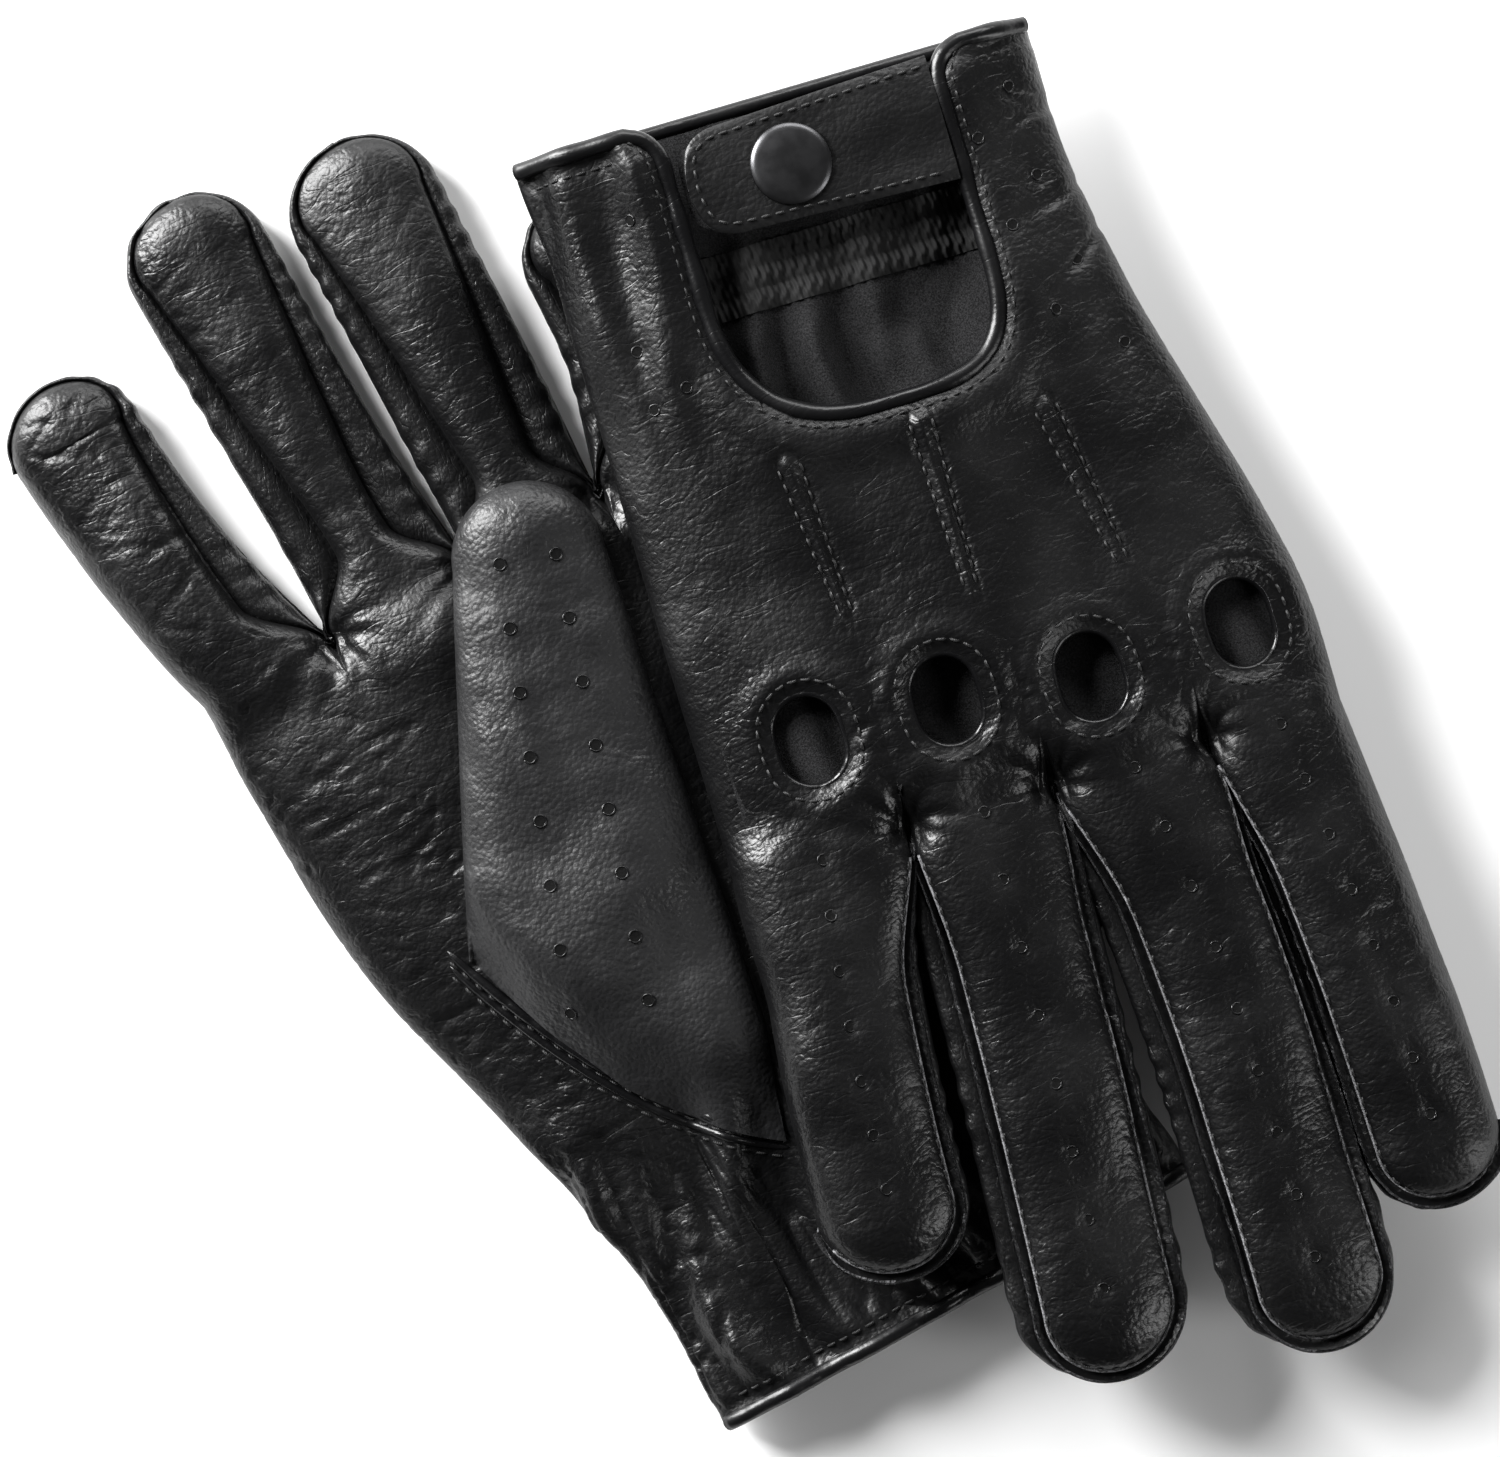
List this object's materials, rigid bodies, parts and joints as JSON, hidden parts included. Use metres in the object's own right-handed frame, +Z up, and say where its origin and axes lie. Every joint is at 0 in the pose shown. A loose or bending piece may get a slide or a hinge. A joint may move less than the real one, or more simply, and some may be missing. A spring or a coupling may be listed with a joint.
{
  "type": "driving gloves",
  "caption": "Pair of leather driving gloves lying crossed, with snap-strap wrists, keyhole and knuckle openings, piped cuffs and folded thumbs.",
  "frame": {"origin": "middle of the pair's outline, on the table under it", "axes": "+Z up from the table, +Y along the gloves towards the left glove's fingertips, +X towards the right glove's index side"},
  "size_m": [0.1914, 0.2514, 0.0267],
  "materials": {
    "glove_leather": "fine-grained black nappa, semi-gloss",
    "thumb_leather": "smooth black nappa, semi-gloss",
    "fourchette": "thin black nappa",
    "piping": "rolled black leather binding",
    "lining": "raw suede flesh side",
    "elastic": "shirred woven elastic",
    "snap_metal": "satin gunmetal"
  },
  "bodies": {
    "left_hand": {"left_back_panel": "glove_leather", "left_palm_panel": "glove_leather", "left_knuckle_facings": "lining", "left_fourchette_roots": "fourchette", "left_cuff_piping": "piping", "left_wrist_elastic": "elastic", "left_strap_anchor": "glove_leather", "left_underlap_tab": "glove_leather", "left_snap_stud": "snap_metal", "left_pinky_back": "glove_leather", "left_pinky_palm": "glove_leather", "left_pinky_fourchette": "fourchette"},
    "right_hand": {"right_back_panel": "glove_leather", "right_palm_panel": "glove_leather", "right_knuckle_facings": "lining", "right_fourchette_roots": "fourchette", "right_cuff_piping": "piping", "right_wrist_elastic": "elastic", "right_strap_anchor": "glove_leather", "right_underlap_tab": "glove_leather", "right_snap_stud": "snap_metal"},
    "left_index": {"left_index_back": "glove_leather", "left_index_palm": "glove_leather", "left_index_fourchette": "fourchette"},
    "left_middle": {"left_middle_back": "glove_leather", "left_middle_palm": "glove_leather", "left_middle_index_side_fourchette": "fourchette", "left_middle_ring_side_fourchette": "fourchette"},
    "left_ring": {"left_ring_back": "glove_leather", "left_ring_palm": "glove_leather", "left_ring_middle_side_fourchette": "fourchette", "left_ring_pinky_side_fourchette": "fourchette"},
    "left_strap": {"left_strap": "glove_leather", "left_strap_lining": "lining", "left_snap_cap": "snap_metal"},
    "left_thumb": {"left_thumb_outer": "thumb_leather", "left_thumb_inner": "thumb_leather"},
    "right_index": {"right_index_back": "glove_leather", "right_index_palm": "glove_leather", "right_index_fourchette": "fourchette"},
    "right_middle": {"right_middle_back": "glove_leather", "right_middle_palm": "glove_leather", "right_middle_index_side_fourchette": "fourchette", "right_middle_ring_side_fourchette": "fourchette"},
    "right_pinky": {"right_pinky_back": "glove_leather", "right_pinky_palm": "glove_leather", "right_pinky_fourchette": "fourchette"},
    "right_ring": {"right_ring_back": "glove_leather", "right_ring_palm": "glove_leather", "right_ring_middle_side_fourchette": "fourchette", "right_ring_pinky_side_fourchette": "fourchette"},
    "right_strap": {"right_strap": "glove_leather", "right_strap_lining": "lining", "right_snap_cap": "snap_metal"},
    "right_thumb": {"right_thumb_outer": "thumb_leather", "right_thumb_inner": "thumb_leather"}
  },
  "joints": [
    {"name": "right_glove_lift", "type": "slide", "parent": "left_hand", "child": "right_hand", "axis": [0, 0, 1], "range_m": [0, 0.25]},
    {"name": "left_strap_hinge", "type": "hinge", "parent": "left_hand", "child": "left_strap", "pos_m": [-0.02765, -0.08608, 0.0013], "axis": [-0.1089, 0.9941, 0], "range_deg": [0, 110]},
    {"name": "right_strap_hinge", "type": "hinge", "parent": "right_hand", "child": "right_strap", "pos_m": [0.06771, 0.08729, 0.02343], "axis": [0.1089, 0.9941, 0], "range_deg": [0, 110]},
    {"name": "left_thumb_fold", "type": "hinge", "parent": "left_hand", "child": "left_thumb", "pos_m": [-0.03933, -0.03454, 0.0134], "axis": [0.6278, -0.7784, 0], "range_deg": [0, 55]},
    {"name": "right_thumb_fold", "type": "hinge", "parent": "right_hand", "child": "right_thumb", "pos_m": [0.06729, 0.03452, 0.01053], "axis": [0.7431, -0.6678, -0.0425], "range_deg": [0, 55]},
    {"name": "left_index_bend", "type": "hinge", "parent": "left_hand", "child": "left_index", "pos_m": [-0.07426, 0.05469, 0.0105], "axis": [0.9941, 0.1089, 0], "range_deg": [0, 70]},
    {"name": "left_middle_bend", "type": "hinge", "parent": "left_hand", "child": "left_middle", "pos_m": [-0.04718, 0.06469, 0.0105], "axis": [0.9941, 0.1089, 0], "range_deg": [0, 70]},
    {"name": "left_ring_bend", "type": "hinge", "parent": "left_hand", "child": "left_ring", "pos_m": [-0.02013, 0.06564, 0.0105], "axis": [0.9941, 0.1089, 0], "range_deg": [0, 70]},
    {"name": "right_index_bend", "type": "hinge", "parent": "right_hand", "child": "right_index", "pos_m": [0.08167, -0.0601, 0.02116], "axis": [-0.9927, 0.1087, 0.0523], "range_deg": [0, 35]},
    {"name": "right_middle_bend", "type": "hinge", "parent": "right_hand", "child": "right_middle", "pos_m": [0.05708, -0.06445, 0.02242], "axis": [-0.9927, 0.1087, 0.0523], "range_deg": [0, 35]},
    {"name": "right_ring_bend", "type": "hinge", "parent": "right_hand", "child": "right_ring", "pos_m": [0.02653, -0.05909, 0.02404], "axis": [-0.9927, 0.1087, 0.0523], "range_deg": [0, 35]},
    {"name": "right_pinky_bend", "type": "hinge", "parent": "right_hand", "child": "right_pinky", "pos_m": [-0.00139, -0.04799, 0.02556], "axis": [-0.9927, 0.1087, 0.0523], "range_deg": [0, 35]}
  ]
}
